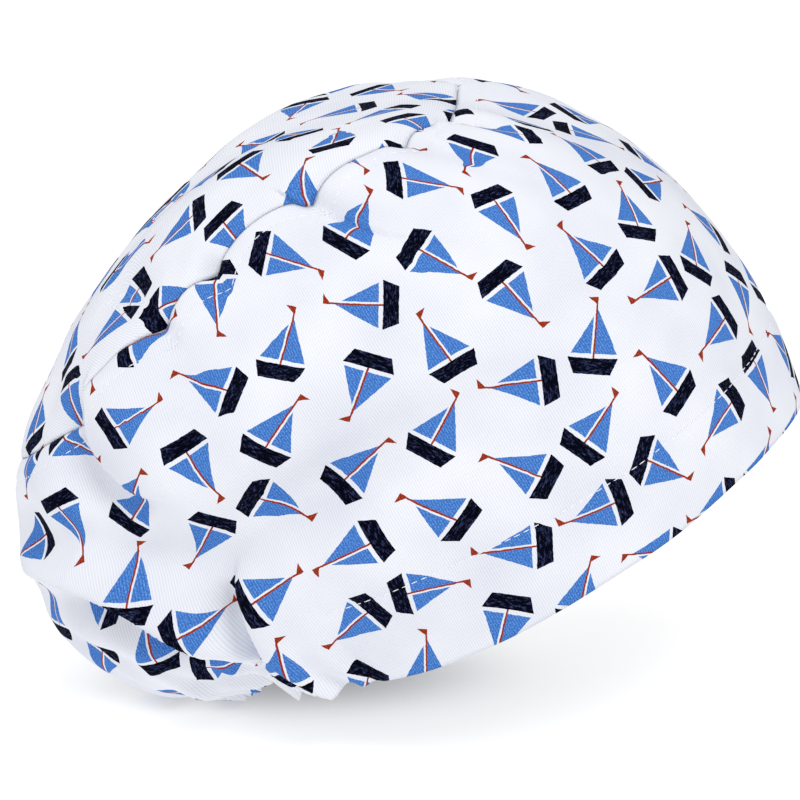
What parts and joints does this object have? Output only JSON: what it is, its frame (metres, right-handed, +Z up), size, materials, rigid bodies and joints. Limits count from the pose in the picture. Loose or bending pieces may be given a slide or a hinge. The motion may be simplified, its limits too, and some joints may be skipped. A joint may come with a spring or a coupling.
{
  "type": "surgical scrub cap",
  "caption": "Printed cotton scrub cap as worn: deep side band with a turned hem, tucked on to an oval crown panel, pouched and gathered into an elastic casing at the nape.",
  "frame": {"origin": "centre of the head opening, where the cap sits on the head", "axes": "+X forward out of the wearer's brow, +Y to the wearer's left, +Z up; the cap is tilted back as it is worn"},
  "size_m": [0.2564, 0.1664, 0.2019],
  "materials": {
    "printed_cotton": "fine plain-woven cotton, white, with a tossed print of small blue and navy sailing boats",
    "cotton_back": "the wrong side of the same cotton, where the print shows only faintly"
  },
  "bodies": {
    "root": {"crown_panel": "printed_cotton", "side_band": "printed_cotton", "turned_hem": "cotton_back", "elastic_casing": "cotton_back"}
  },
  "joints": []
}
